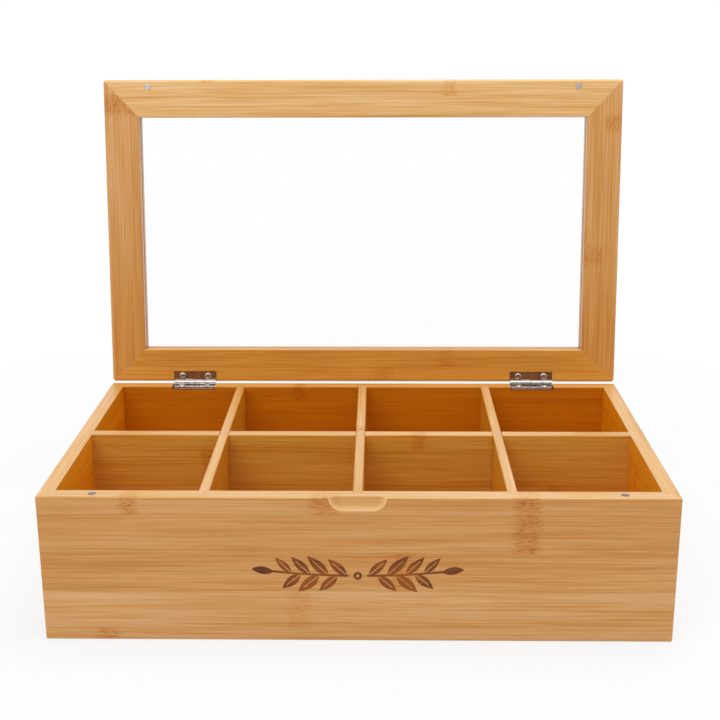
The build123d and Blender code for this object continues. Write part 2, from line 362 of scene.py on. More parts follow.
class Grain(Enum):
    """Which way a board's fibres run: along, then across its face, then through its thickness."""

    BOX_LONG = "box_long"
    BOX_CROSS = "box_cross"
    PANEL = "panel"
    LID_RAIL = "lid_rail"
    LID_STILE = "lid_stile"

    def frame(self) -> tuple[Vector, Matrix]:
        """The pattern's origin and axes.

        Returns:
            The origin in metres, and the axes as columns.
        """
        right, back, top = Vector((1, 0, 0)), Vector((0, 1, 0)), Vector((0, 0, 1))
        axes = {
            Grain.BOX_LONG: (right, top, -back),
            Grain.BOX_CROSS: (back, top, right),
            Grain.PANEL: (right, back, top),
            Grain.LID_RAIL: (right, UP_THE_LID, OUT_OF_LID),
            Grain.LID_STILE: (UP_THE_LID, -right, OUT_OF_LID),
        }[self]
        on_lid = self in (Grain.LID_RAIL, Grain.LID_STILE)
        origin = HINGE_AXIS if on_lid else CENTRE
        return origin, Matrix(axes).transposed()


# ---------------------------------------------------------------------------------------------
# Finishes


@dataclass(frozen=True)
class Tone:
    """The shades of one board about its middle one, in display values from 0 to 255."""

    red: Number
    green: Number
    blue: Number

    def shade(self, red: float, green: float, blue: float) -> Colour:
        """The middle shade with each of its parts scaled."""
        return paint(min(self.red * red, 255), min(self.green * green, 255), min(self.blue * blue, 255))

    def ramp(self, bench: Bench, share: Wire) -> Wire:
        """Colour the fibres.

        Args:
            bench: The bench of the material.
            share: 0 in the deepest fibres, 1 in the palest.

        Returns:
            The colour.
        """
        deep = self.shade(0.925, 0.85, 0.64)
        pale = self.shade(1.045, 1.11, 1.36)
        return bench.ramp(share, [(0.0, deep), (0.5, self.shade(1, 1, 1)), (1.0, pale)])


@dataclass(frozen=True)
class ShadedHollow:
    """The inside of the box, whose faces take a deeper, more orange tone than its rims and outside as painted
    shade, in mm.
    """

    half_width: float = 154.1
    half_depth: float = INNER_FACE
    panel_top: float = 5.0

    def mask(self, bench: Bench) -> Wire:
        """Where the faces inside the box are.

        Args:
            bench: The bench of the material.

        Returns:
            1 on the faces inside the box, 0 on its rims and outside.
        """
        x, y, z = bench.position()
        walls = abs(x).rise(self.half_width + 0.25, self.half_width + 0.1)
        walls = walls * abs(y).rise(self.half_depth + 0.25, self.half_depth + 0.1)
        below_rim = z.rise(RIM - 0.05, RIM - 0.75)
        return walls * below_rim * z.rise(self.panel_top - 1.0, self.panel_top - 0.4)


@dataclass(frozen=True)
class Notches:
    """The two notches in the back wall's rim that the hinge leaves lie in, with a painted shadow in them, in
    mm.
    """

    half_length: float = 13.75
    # Painted shadow: the dark brown painted into the notches
    notch_shadow: Colour = paint(96, 40, 10)

    def mask(self, bench: Bench) -> Wire:
        """Where the notches are.

        Args:
            bench: The bench of the material.

        Returns:
            1 in the notches, 0 elsewhere.
        """
        x, y, z = bench.position()
        beside = abs(abs(x) - HINGE_X).rise(self.half_length + 0.1, self.half_length)
        low = z.rise(RIM - 0.05, RIM - 0.2) * z.rise(RIM - 2.2, RIM - 1.9)
        return beside * low * y.rise(INNER_FACE - 0.1, INNER_FACE)


@dataclass(frozen=True)
class Scoop:
    """The thumb scoop in the front wall, painted paler towards its lower lip as painted light, in mm."""

    half_length: float = 15.3
    foot: float = 72.0
    # Painted light: the paler colour of the lit scoop
    pale: Colour = paint(246, 202, 142)

    def mask(self, along: Wire, up: Wire, through: Wire) -> Wire:
        """How much painted light the scoop takes.

        Args:
            along: Place along the board.
            up: Place up the board.
            through: Place through the board, towards its face.

        Returns:
            Up to 1 at the lip of the scoop, less in its hollow, 0 elsewhere.
        """
        inside = through.rise(FRONT_FACE - 0.02, FRONT_FACE - 0.12) * up.rise(RIM - 0.02, RIM - 0.1)
        inside = inside * abs(along).rise(self.half_length, self.half_length - 0.5)
        # Painted light grows towards the lower lip
        lit_share = 0.3 + through.rise(FRONT_FACE - 1.4, FRONT_FACE - 0.2) * 0.7
        return inside * up.rise(self.foot - 1.0, self.foot) * lit_share


@dataclass(frozen=True)
class Knuckle:
    """A joint of the bamboo stem, showing as a band of short dark flecks on one strip, in mm."""

    along: float
    low: float
    high: float
    half_width: float = 6.0
    strength: float = 1.0


@dataclass(frozen=True)
class Sprig:
    """A burnt-in pair of plain leafy twigs, mirrored about its middle, in mm on the front face."""

    middle: tuple[float, float] = (0.0, 38.0)
    half_length: float = 49.0
    leaf_pitch: float = 9.4
    leaf_length: float = 14.0
    leaf_width: float = 5.2
    leaf_slant: float = radians(43)
    first_leaf: float = 5.5
    tip_length: float = 6.5
    twig_width: float = 1.2
    bow: float = 3.0
    light_burn: Colour = paint(152, 78, 24)
    dark_burn: Colour = paint(82, 32, 14)

    def mask(self, bench: Bench, along: Wire, up: Wire) -> Wire:
        """Where the sprig is burnt in.

        Args:
            bench: The bench of the material.
            along: Place along the board.
            up: Place up the board.

        Returns:
            1 on the sprig, 0 off it.
        """
        edge = 0.18
        out = abs(along - self.middle[0])
        rise = up - self.middle[1] - (out * (1 / self.half_length)) ** 2 * self.bow + 1.0
        # Leaves in pairs: each slanted cell holds one leaf above the twig and, half a pitch on, one below
        mask = bench.add("ShaderNodeMath", {"operation": "LESS_THAN"}, {0: abs(rise), 1: self.twig_width / 2})
        mask = mask * out.rise(self.half_length - 4, self.half_length - 5) * out.rise(4.5, 5.0)
        for side, shift in ((1, 0.0), (-1, self.leaf_pitch / 2)):
            start = self.first_leaf + shift
            over = rise * side
            lean = out - start - over * (1 / tan(self.leaf_slant))
            cell = (lean / self.leaf_pitch + 0.5).floor().at_least(0).at_most(3 if side > 0 else 2)
            foot = out - start - cell * self.leaf_pitch
            size = 1.08 - abs(cell - 1.0) * 0.12
            ahead = foot * cos(self.leaf_slant) + over * sin(self.leaf_slant)
            beside = over * cos(self.leaf_slant) - foot * sin(self.leaf_slant)
            share = ahead / (size * self.leaf_length)
            half = (share * (1 - share)).at_least(0) * 4 * size * (self.leaf_width / 2)
            half = half * (1.25 - share * 0.5)
            leaf = (half - abs(beside)).rise(0.0, edge)
            vein = abs(beside).rise(0.16, 0.3).at_least(share.rise(0.7, 0.78))
            inside = share.rise(0.0, 0.04) * share.rise(1.0, 0.98)
            mask = mask.at_least(leaf * inside * vein)
        tip_ahead = out - (self.half_length - self.tip_length)
        share = tip_ahead / (self.leaf_length * 0.85)
        half = (share * (1 - share)).at_least(0) * 2 * self.leaf_width * 0.85
        mask = mask.at_least((half - abs(rise)).rise(0.0, edge))
        berry = (out * out + rise * rise) ** 0.5
        mask = mask.at_least(berry.rise(2.3, 2.1) * berry.rise(0.8, 1.0))
        return mask


@dataclass(frozen=True)
class Bamboo:
    """Laminated bamboo under a satin lacquer: strips, fibres and the joints of the stem."""

    name: str
    grain: Grain
    seed: float
    tone: Tone = Tone(209, 152, 86)
    # foot: a tone of its own for the board's lower part, which on the lid's stiles is painted shade
    foot: Tone | None = None
    foot_span: tuple[float, float] = (0.0, 115.0)
    # Painted light: a paler tone on the rim top and the top edge of the face
    rim: Tone | None = None
    # Painted shade: a deeper, more orange tone on the faces inside the box
    inside: Tone | None = None
    shaded_hollow: ShadedHollow = ShadedHollow()
    strip_width: float = 21.1
    first_seam: float = 7.2
    knuckles: tuple[Knuckle, ...] = ()
    knuckle_spacing: float = 0.0
    sprig: Sprig | None = None
    scoop: Scoop | None = None
    notches: Notches | None = None
    # What the colour is multiplied by in each kind of mark
    warm: Colour = (0.94, 0.72, 0.42)
    joint: Colour = (0.94, 0.76, 0.46)
    fleck: Colour = (0.56, 0.38, 0.22)
    glint: Colour = (1.2, 1.35, 1.6)
    glue: Colour = (0.6, 0.45, 0.3)

    def material(self) -> bpy.types.Material:
        """Build the material.

        Returns:
            The finished material.
        """
        bench = Bench(self.name)
        along, across, through = bench.position(*self.grain.frame())

        def fibres(end: Wire, row: Wire, length: Number, width: Number, **looks: float) -> Wire:
            """Noise drawn out to a length along the fibres and a width across them."""
            return bench.noise(bench.vector(end / length, row / width, through / width), **looks)

        strip = ((across - self.first_seam) / self.strip_width).floor()
        lot = bench.draw(strip + self.seed)
        other_lot = bench.draw(strip + (self.seed + 40.5))
        shifted = along + lot * 900 + self.seed * 31

        wander = fibres(shifted, across, 130, 16, detail=1.0) - 0.5
        ragged = fibres(shifted, across, 30, 0.9) - 0.5

        band = self._knuckle_band(bench, along, across, strip, ragged)
        swirl = fibres(along, across, 3.6, 3.0, detail=1.0) - 0.5
        rows = across + wander * 1.4 + band * swirl * 1.5

        fine = fibres(shifted, rows, 34, 0.34, rough=0.6)
        middling = fibres(shifted, rows, 70, 1.15)
        broad = fibres(shifted, rows, 130, 7.0, detail=1.0)

        share = 0.5 + (fine - 0.5) * 1.5 + (middling - 0.5) * 1.4
        share = share + (broad - 0.5) * 0.9 + (lot - 0.5) * 0.3
        colour = self._shades(bench, share, along, across)
        warmth = fibres(shifted, rows, 50, 0.9, rough=0.6)
        colour = bench.scale(warmth.rise(0.52, 0.74) * 0.45, colour, self.warm)

        colour = bench.scale(band * 0.8, colour, self.joint)
        dash_place = bench.vector(along / 3.6 + other_lot * 40, rows / 0.5, through / 0.8)
        dashes = bench.noise(dash_place, rough=0.6).rise(0.5, 0.66)
        colour = bench.scale(band * dashes * 0.85, colour, self.fleck)
        glints = bench.noise(dash_place, scale=0.9, detail=1.0).rise(0.42, 0.3)
        colour = bench.scale(band * glints * 0.5, colour, self.glint)

        seam = abs((across - self.first_seam).wrap(self.strip_width)).rise(0.3, 0.0)
        colour = bench.scale(seam * 0.3, colour, self.glue)

        rough = 0.40 - (fine - 0.5) * 0.14 + band * dashes * 0.1
        height = fine * 0.55 + middling * 0.3 - band * dashes * 0.5 - seam * 0.4
        gloss = 0.4 - band * dashes * 0.1
        # Painted shadow: the hinge notches are darkened to deep brown
        if self.notches:
            colour = bench.blend(self.notches.mask(bench) * 0.85, colour, self.notches.notch_shadow)
        # Painted light: the thumb scoop turns paler, most at its lower lip
        if self.scoop:
            scoop_light = self.scoop.mask(along, across, through)
            colour = bench.blend(scoop_light * 0.7, colour, self.scoop.pale)
            rough = rough + scoop_light * 0.1
        if self.sprig:
            burn = self.sprig.mask(bench, along, across)
            burn = burn * through.rise(FRONT_FACE - 0.5, FRONT_FACE - 0.1)
            char = bench.noise(bench.vector(along / 16, across / 1.2, 0.0), detail=3.0, rough=0.6)
            depth = bench.noise(bench.vector(along / 22, across / 22, 0.0), detail=1.0)
            scorch = (char * 0.7 + depth * 0.9 - 0.3).rise(0.25, 0.75)
            burnt = bench.blend(scorch, self.sprig.light_burn, self.sprig.dark_burn)
            colour = bench.blend(burn * 0.97, colour, burnt)
            rough = rough + burn * 0.2
            gloss = gloss - burn * 0.38
            height = height - burn * 2.0
        shader = bench.add(
            "ShaderNodeBsdfPrincipled",
            inputs={
                "Base Color": colour,
                "Roughness": rough,
                "IOR": 1.42,
                "Specular Tint": (1.0, 0.82, 0.6),
                "Coat Weight": gloss,
                "Coat Roughness": 0.2,
                "Coat IOR": 1.48,
                "Normal": bench.bump(height, 0.05 * MM, 0.7),
            },
        )
        return bench.surface(shader)

    def _shades(self, bench: Bench, share: Wire, along: Wire, across: Wire) -> Wire:
        """Colour the fibres, with the board's foot, its rim and the faces inside each in a tone of its own:
        the rim's is painted light, the inside's is painted shade, and on the lid's stiles the foot's is
        painted shade.

        Args:
            bench: The bench of the material.
            share: 0 in the deepest fibres, 1 in the palest.
            along: Place along the fibres.
            across: Place across the strips.

        Returns:
            The colour.
        """
        colour = self.tone.ramp(bench, share)
        # On the lid's stiles the foot's deeper tone is painted shade towards the hinge
        if self.foot:
            up = along if self.grain is Grain.LID_STILE else across
            low = up.rise(self.foot_span[1], self.foot_span[0])
            colour = bench.blend(low, colour, self.foot.ramp(bench, share))
        # Painted light: the rim top takes a paler tone
        if self.rim:
            top = across.rise(RIM - 0.8, RIM - 0.15)
            colour = bench.blend(top, colour, self.rim.ramp(bench, share))
        # Painted shade: the faces inside the box take a deeper, more orange tone
        if self.inside:
            colour = bench.blend(self.shaded_hollow.mask(bench), colour, self.inside.ramp(bench, share))
        return colour

    def _knuckle_band(self, bench: Bench, along: Wire, across: Wire, strip: Wire, ragged: Wire) -> Wire:
        """Where the joints of the stem show.

        Args:
            bench: The bench of the material.
            along: Place along the fibres.
            across: Place across the strips.
            strip: The strip's number.
            ragged: Noise that frays the bands' ends.

        Returns:
            1 in the middle of a band, 0 away from it.
        """
        frayed = along + ragged * 9.0
        band = None
        for mark in self.knuckles:
            reach = abs(frayed - mark.along).rise(mark.half_width, mark.half_width * 0.35)
            reach = reach * across.rise(mark.low - 0.4, mark.low + 0.4)
            reach = reach * across.rise(mark.high + 0.4, mark.high - 0.4) * mark.strength
            band = reach if band is None else band.at_least(reach)
        if self.knuckle_spacing:
            place = bench.draw(strip * 3 + (self.seed + 7.5)) * self.knuckle_spacing
            away = abs((frayed - place).wrap(self.knuckle_spacing))
            chance = bench.draw(strip * 5 + (self.seed + 3.5)).rise(0.2, 0.6)
            regular = away.rise(5.5, 2.0) * chance * 0.8
            band = regular if band is None else band.at_least(regular)
        return band if band is not None else along * 0


@dataclass(frozen=True)
class Nickel:
    """Bright nickel plate, drawn out by the roller along the pin."""

    name: str
    bright: Colour = paint(212, 206, 202)
    dull: Colour = paint(150, 138, 130)
    rough: float = 0.2
    brush_length: float = 6.0

    def material(self) -> bpy.types.Material:
        """Build the material.

        Returns:
            The finished material.
        """
        bench = Bench(self.name)
        x, y, z = bench.position()
        lines = bench.noise(bench.vector(x / self.brush_length, y / 0.12, z / 0.12))
        cloud = bench.noise(bench.vector(x / 3, y / 3, z / 3), detail=3.0)
        colour = bench.blend(cloud.rise(0.35, 0.7) * 0.6 + lines * 0.2, self.bright, self.dull)
        shader = bench.add(
            "ShaderNodeBsdfPrincipled",
            inputs={
                "Base Color": colour,
                "Metallic": 1.0,
                "Roughness": self.rough + (lines - 0.5) * 0.12 + (cloud - 0.5) * 0.1,
                "Normal": bench.bump(lines, 0.004 * MM),
            },
        )
        return bench.surface(shader)


@dataclass(frozen=True)
class ClearSheet:
    """Polished clear acrylic with the faintest haze and wiping marks."""

    name: str = "clear_acrylic"
    tint: Colour = paint(250, 252, 252)
    haze: float = 0.02
    head_on: float = 0.01
    edge_on: float = 0.55

    def material(self) -> bpy.types.Material:
        """Build the material.

        Returns:
            The finished material.
        """
        bench = Bench(self.name)
        x, y, z = bench.position()
        wipes = bench.noise(bench.vector(x / 80, y / 8, z / 14), detail=3.0)
        sheet = bench.add(
            "ShaderNodeBsdfPrincipled",
            inputs={"Base Color": self.tint, "Roughness": 0.04 + wipes * 0.05, "IOR": 1.49},
        )
        clear = bench.add("ShaderNodeBsdfTransparent", inputs={"Color": WHITE})
        slant = bench.add("ShaderNodeLayerWeight", inputs={"Blend": 0.5}, output="Facing")
        share = slant ** 5 * self.edge_on + self.head_on + wipes * self.haze
        mixed = bench.add("ShaderNodeMixShader", inputs={0: share, 1: clear, 2: sheet})
        return bench.surface(mixed)


@dataclass(frozen=True)
class GlowingReflectionCard:
    """A dark brown card that glows at its own colour whatever the light, a painted reflection for the hinge
    leaves.
    """

    name: str = "painted_reflection_card"
    light: Colour = paint(70, 22, 2)
    dark: Colour = paint(50, 15, 1)

    def material(self) -> bpy.types.Material:
        """Build the material.

        Returns:
            The finished material.
        """
        bench = Bench(self.name)
        x, _, z = bench.position(unit=1.0)
        card_mottle = bench.noise(bench.vector(x * 30, z * 30, 0.0))
        colour = bench.blend(card_mottle * 0.5, self.light, self.dark)
        # The card glows though it is no lamp: a painted reflection
        glow = bench.add("ShaderNodeEmission", inputs={"Color": colour, "Strength": 1.0})
        return bench.surface(glow)


@dataclass(frozen=True)
class PaleFloor:
    """A plain pale floor that keeps the box's shadow and runs out into the white backdrop."""

    name: str = "pale_floor"
    tint: Colour = paint(234, 235, 236)
    grit: Colour = paint(227, 228, 229)
    near: float = 0.30
    far: float = 0.62
    glow_at_box: float = 0.78

    def material(self) -> bpy.types.Material:
        """Build the material.

        Returns:
            The finished material.
        """
        bench = Bench(self.name)
        x, y, _ = bench.position(unit=1.0)
        away = (x * x + y * y) ** 0.5
        specks = bench.noise(bench.vector(x * 60, y * 60, 0.0))
        colour = bench.blend(specks * 0.3, self.tint, self.grit)
        matt = bench.add("ShaderNodeBsdfDiffuse", inputs={"Color": colour})
        glow = bench.add("ShaderNodeEmission", inputs={"Color": WHITE, "Strength": 1.0})
        share = self.glow_at_box + away.rise(self.near, self.far) * (1 - self.glow_at_box)
        mixed = bench.add("ShaderNodeMixShader", inputs={0: bench.seen() * share, 1: matt, 2: glow})
        return bench.surface(mixed)


@dataclass(frozen=True)
class WhiteRoom:
    """A room that lights evenly and shows pure white to the camera, to gloss and through the window."""

    name: str = "white_room"
    light: float = 0.62

    def world(self) -> bpy.types.World:
        """Build the world.

        Returns:
            The finished world.
        """
        bench = Bench(self.name, bpy.data.worlds.new(self.name))
        room = bench.add("ShaderNodeBackground", inputs={"Color": WHITE, "Strength": self.light})
        backdrop = bench.add("ShaderNodeBackground", inputs={"Color": WHITE, "Strength": 1.0})
        mixed = bench.add("ShaderNodeMixShader", inputs={0: bench.seen(), 1: room, 2: backdrop})
        return bench.surface(mixed)


# ---------------------------------------------------------------------------------------------
# Modelling by hand


class Workshop:
    """The few moves by which pieces are modelled, with Blender's own operators."""

    @staticmethod
    def clear_selection() -> None:
        """Leave object mode with nothing selected."""
        if bpy.context.object and bpy.context.object.mode != "OBJECT":
            bpy.ops.object.mode_set(mode="OBJECT")
        bpy.ops.object.select_all(action="DESELECT")

    @staticmethod
    def start(name: str) -> bpy.types.Object:
        """Name the primitive that was just added, and open it with nothing selected.

        Args:
            name: The piece's name.

        Returns:
            The piece, in edit mode.
        """
        piece = bpy.context.object
        piece.name = name
        piece.data.name = name
        bpy.ops.object.mode_set(mode="EDIT")
        bpy.ops.mesh.select_all(action="DESELECT")
        return piece

    @staticmethod
    def pick_cap(piece: bpy.types.Object, direction: float) -> None:
        """Select the flat cap furthest along Z.

        Args:
            piece: The piece, in edit mode.
            direction: 1 for the top cap, -1 for the bottom one.
        """
        bpy.ops.object.mode_set(mode="OBJECT")
        mesh = piece.data
        ends = [face.center.z * direction for face in mesh.polygons if face.normal.z * direction > 0.99]
        limit = max(ends) - 0.001 * MM
        for vertex in mesh.vertices:
            vertex.select = False
        for edge in mesh.edges:
            edge.select = False
        for face in mesh.polygons:
            face.select = face.normal.z * direction > 0.99 and face.center.z * direction > limit
        bpy.ops.object.mode_set(mode="EDIT")

    @staticmethod
    def step(up: float, scale: float) -> None:
        """Extrude the selected cap and scale its new edge about the piece's own axis.

        Args:
            up: Distance along Z, in metres.
            scale: Factor for the cap's radius.
        """
        bpy.ops.mesh.extrude_region_move(TRANSFORM_OT_translate={"value": (0, 0, up)})
        bpy.ops.transform.resize(value=(scale, scale, 1), center_override=(0, 0, 0))

    @staticmethod
    def cut(piece: bpy.types.Object, cutter: bpy.types.Object) -> None:
        """Take a cutter's shape out of a piece, and drop the cutter.

        Args:
            piece: The piece to be cut.
            cutter: The shape to take out.
        """
        Workshop.clear_selection()
        bpy.context.view_layer.objects.active = piece
        piece.select_set(True)
        modifier = piece.modifiers.new("cut", "BOOLEAN")
        modifier.operation = "DIFFERENCE"
        modifier.solver = "EXACT"
        modifier.object = cutter
        bpy.ops.object.modifier_apply(modifier=modifier.name)
        bpy.data.objects.remove(cutter)

    @staticmethod
    def finish(piece: bpy.types.Object, angle: float = radians(35)) -> bpy.types.Object:
        """Turn normals outwards and smooth the curved faces.

        Args:
            piece: The piece.
            angle: Edges sharper than this stay crisp.

        Returns:
            The piece, in object mode.
        """
        Workshop.clear_selection()
        bpy.context.view_layer.objects.active = piece
        piece.select_set(True)
        bpy.ops.object.mode_set(mode="EDIT")
        bpy.ops.mesh.select_all(action="SELECT")
        bpy.ops.mesh.remove_doubles(threshold=0.002 * MM)
        bpy.ops.mesh.normals_make_consistent(inside=False)
        bpy.ops.object.mode_set(mode="OBJECT")
        bpy.ops.object.shade_smooth_by_angle(angle=angle)
        Workshop.clear_selection()
        return piece

    @staticmethod
    def copies(pattern: bpy.types.Object, name: str, places: list[Matrix]) -> bpy.types.Object:
        """Set copies of a modelled piece at several places, as one piece with a mesh of its own.

        Args:
            pattern: The piece that was modelled once.
            name: The new piece's name.
            places: Where each copy goes.

        Returns:
            The new piece, with its place in its mesh.
        """
        made = []
        for place in places:
            twin = pattern.copy()
            twin.data = pattern.data.copy()
            bpy.context.scene.collection.objects.link(twin)
            twin.data.transform(place)
            made.append(twin)
        Workshop.clear_selection()
        for twin in made:
            twin.select_set(True)
        bpy.context.view_layer.objects.active = made[0]
        if len(made) > 1:
            bpy.ops.object.join()
        piece = bpy.context.view_layer.objects.active
        piece.name = name
        piece.data.name = name
        Workshop.clear_selection()
        return piece


def dress(node: str, material: bpy.types.Material) -> None:
    """Give a carried-over CAD node its finish.

    Args:
        node: The node's name.
        material: Its new material.
    """
    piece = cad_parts[node]
    if piece.material_slots:
        for slot in piece.material_slots:
            slot.material = material
    else:
        piece.data.materials.append(material)
    log.info("dressed %s in %s", node, material.name)


def clad(node: str, grain: Grain, seed: float, **looks: object) -> None:
    """Give a board its own cut of the bamboo.

    Args:
        node: The board's node.
        grain: Which way its fibres run.
        seed: Where its pattern starts.
        looks: Whatever else sets it apart, by the field of Bamboo.
    """
    dress(node, Bamboo(f"bamboo_{node}", grain, seed, **looks).material())


def facing(outward: Vector) -> Matrix:
    """Axes, as columns, of a piece whose top looks the given way."""
    right = Vector((1, 0, 0))
    return Matrix((right, outward.cross(right), outward)).transposed()


# ---------------------------------------------------------------------------------------------
# Sub-assemblies


@dataclass
class BoxShell:
    """The four mitred walls and the panel let into them."""

    front_knuckles: tuple[Knuckle, ...] = (
        Knuckle(-115.7, 70.4, 80.0, 6.0, 0.9),
        Knuckle(-129.5, -1.0, 7.2, 8.0, 0.9),
        Knuckle(-30.3, 7.2, 28.3, 8.0, 0.45),
        Knuckle(-16.7, 70.4, 80.0, 10.0, 0.9),
        Knuckle(85.6, 49.4, 80.0, 9.5, 1.0),
        Knuckle(22.5, 28.3, 49.4, 8.0, 0.8),
    )
    knuckle_spacing: float = 420.0
    sprig: Sprig = Sprig()
    scoop: Scoop = Scoop()
    notches: Notches = Notches()

    def build(self) -> None:
        """Dress the walls and the panel."""
        # Each board's inside tone is painted shade on the faces inside the box
        clad(
            "front_wall",
            Grain.BOX_LONG,
            seed=3.0,
            knuckles=self.front_knuckles,
            sprig=self.sprig,
            scoop=self.scoop,
            tone=Tone(204, 143, 74),
            foot=Tone(210, 153, 87),
            foot_span=(30.0, 62.0),
            # Painted light: the rim's paler tone
            rim=Tone(214, 165, 97),
            inside=Tone(216, 146, 44),
        )
        clad(
            "back_wall",
            Grain.BOX_LONG,
            seed=11.0,
            knuckle_spacing=self.knuckle_spacing,
            notches=self.notches,
            tone=Tone(224, 167, 87),
            inside=Tone(202, 117, 7),
        )
        for node, seed in (("left_wall", 21.0), ("right_wall", 27.0)):
            clad(
                node,
                Grain.BOX_CROSS,
                seed,
                knuckle_spacing=self.knuckle_spacing,
                tone=Tone(214, 162, 88),
                inside=Tone(240, 156, 14),
            )
        clad(
            "bottom_panel",
            Grain.PANEL,
            seed=41.0,
            first_seam=3.0,
            knuckle_spacing=330.0,
            inside=Tone(214, 142, 40),
        )


@dataclass
class Dividers:
    """One long divider lapped over three cross dividers."""

    knuckle_spacing: float = 460.0
    # The dividers' faces take deeper tones than their tops: painted shade
    top: Tone = Tone(216, 167, 101)
    long_face_shade: Tone = Tone(217, 157, 60)
    cross_face_shade: Tone = Tone(222, 148, 28)

    def build(self) -> None:
        """Dress the dividers."""
        shared = {"tone": self.top, "knuckle_spacing": self.knuckle_spacing}
        clad("long_divider", Grain.BOX_LONG, 52.0, inside=self.long_face_shade, **shared)
        for place, seed in (("left", 61.0), ("centre", 68.0), ("right", 75.0)):
            clad(f"cross_divider_{place}", Grain.BOX_CROSS, seed, inside=self.cross_face_shade, **shared)


@dataclass
class LidFrame:
    """The lid's two rails and two stiles, mitred round the window."""

    # The tones deepen down the open lid, from the paler front rail at its top to the back rail and the
    # stiles' feet by the hinge: painted shade
    front_tone: Tone = Tone(230, 180, 112)
    shaded_back_tone: Tone = Tone(215, 146, 51)
    left_tone: Tone = Tone(212, 154, 87)
    right_tone: Tone = Tone(217, 161, 95)
    shaded_foot_tone: Tone = Tone(210, 142, 58)
    strip_width: float = 11.4
    rail_seam: float = 10.6
    front_rail_seam: float = 181.9
    stile_seam: float = 152.0
    front_knuckles: tuple[Knuckle, ...] = (
        Knuckle(54.3, 181.9, 194.0, 6.0, 0.5),
        Knuckle(-97.4, 190.0, 194.0, 6.0, 0.7),
    )
    back_knuckles: tuple[Knuckle, ...] = (
        Knuckle(13.7, 0.0, 10.6, 8.0, 0.5),
        Knuckle(54.1, 10.6, 22.0, 7.0, 0.5),
    )
    left_knuckles: tuple[Knuckle, ...] = (Knuckle(177.0, 140.0, 164.0, 9.0, 1.0),)
    right_knuckles: tuple[Knuckle, ...] = (
        Knuckle(165.0, -164.0, -152.0, 7.0, 0.8),
        Knuckle(82.0, -152.0, -141.0, 8.0, 0.7),
    )

    def build(self) -> None:
        """Dress the four bars."""
        rail, stile = Grain.LID_RAIL, Grain.LID_STILE
        bars = (
            ("front_rail", rail, 81.0, self.front_rail_seam, self.front_knuckles, self.front_tone),
            ("back_rail", rail, 87.0, self.rail_seam, self.back_knuckles, self.shaded_back_tone),
            ("left_stile", stile, 93.0, self.stile_seam, self.left_knuckles, self.left_tone),
            ("right_stile", stile, 99.0, -self.stile_seam, self.right_knuckles, self.right_tone),
        )
        for bar, grain, seed, seam, knuckles, tone in bars:
            clad(
                f"lid_{bar}",
                grain,
                seed,
                strip_width=self.strip_width,
                first_seam=seam,
                knuckles=knuckles,
                tone=tone,
                foot=self.shaded_foot_tone if grain is stile else None,
            )


@dataclass
class Window:
    """The clear sheet in the lid."""

    finish: ClearSheet = ClearSheet()

    def build(self) -> None:
        """Dress the sheet."""
        dress("window_pane", self.finish.material())


